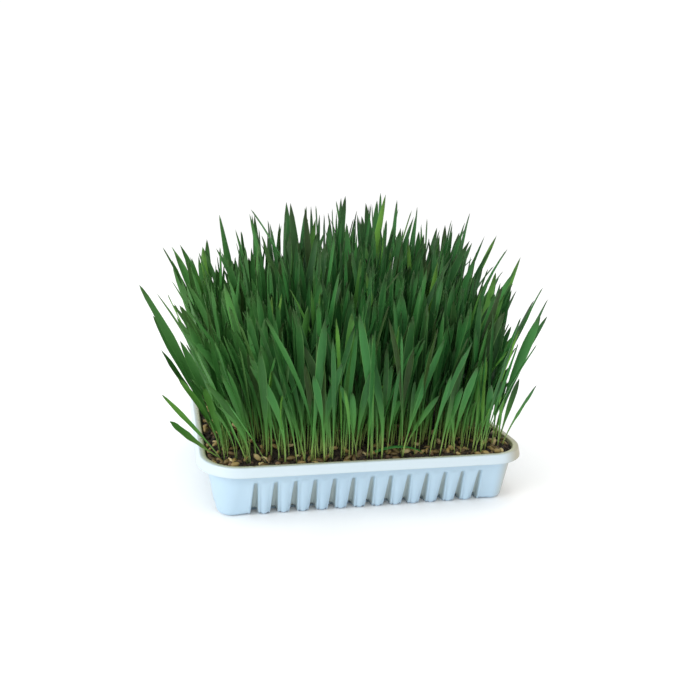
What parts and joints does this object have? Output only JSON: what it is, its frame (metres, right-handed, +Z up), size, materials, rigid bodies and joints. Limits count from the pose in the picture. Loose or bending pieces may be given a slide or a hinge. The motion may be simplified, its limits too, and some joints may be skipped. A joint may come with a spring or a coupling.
{
  "type": "wheatgrass tray",
  "caption": "Wheatgrass grown in soil in a ribbed white plastic tray with a turned-down skirt; the blades stand in one dense stand that leans outward.",
  "frame": {"origin": "middle of the tray's flat bottom, on the surface it rests on", "axes": "+Z up, +X along the tray's long side, -Y towards the long side that the picture sees in front"},
  "size_m": [0.2861, 0.2229, 0.2106],
  "materials": {
    "tray": "satin",
    "soil": "rough",
    "grass": "satin"
  },
  "bodies": {
    "root": {"tray": "tray", "soil": "soil", "wheatgrass_tuft_01": "grass", "wheatgrass_tuft_02": "grass", "wheatgrass_tuft_03": "grass", "wheatgrass_tuft_04": "grass", "wheatgrass_tuft_05": "grass", "wheatgrass_tuft_06": "grass", "wheatgrass_tuft_07": "grass", "wheatgrass_tuft_08": "grass", "wheatgrass_tuft_09": "grass", "wheatgrass_tuft_10": "grass", "wheatgrass_tuft_11": "grass", "wheatgrass_tuft_12": "grass", "wheatgrass_tuft_13": "grass", "wheatgrass_tuft_14": "grass", "wheatgrass_tuft_15": "grass", "wheatgrass_tuft_16": "grass", "wheatgrass_tuft_17": "grass", "wheatgrass_tuft_18": "grass", "wheatgrass_tuft_19": "grass", "wheatgrass_tuft_20": "grass", "wheatgrass_tuft_21": "grass", "wheatgrass_tuft_22": "grass", "wheatgrass_tuft_23": "grass", "wheatgrass_tuft_24": "grass", "wheatgrass_tuft_25": "grass", "wheatgrass_tuft_26": "grass", "wheatgrass_tuft_27": "grass", "wheatgrass_tuft_28": "grass", "wheatgrass_tuft_29": "grass", "wheatgrass_tuft_30": "grass", "wheatgrass_tuft_31": "grass", "wheatgrass_tuft_32": "grass", "wheatgrass_tuft_33": "grass", "wheatgrass_tuft_34": "grass", "wheatgrass_tuft_35": "grass", "wheatgrass_tuft_36": "grass", "wheatgrass_tuft_37": "grass", "wheatgrass_tuft_38": "grass", "wheatgrass_tuft_39": "grass", "wheatgrass_tuft_40": "grass"}
  },
  "joints": []
}
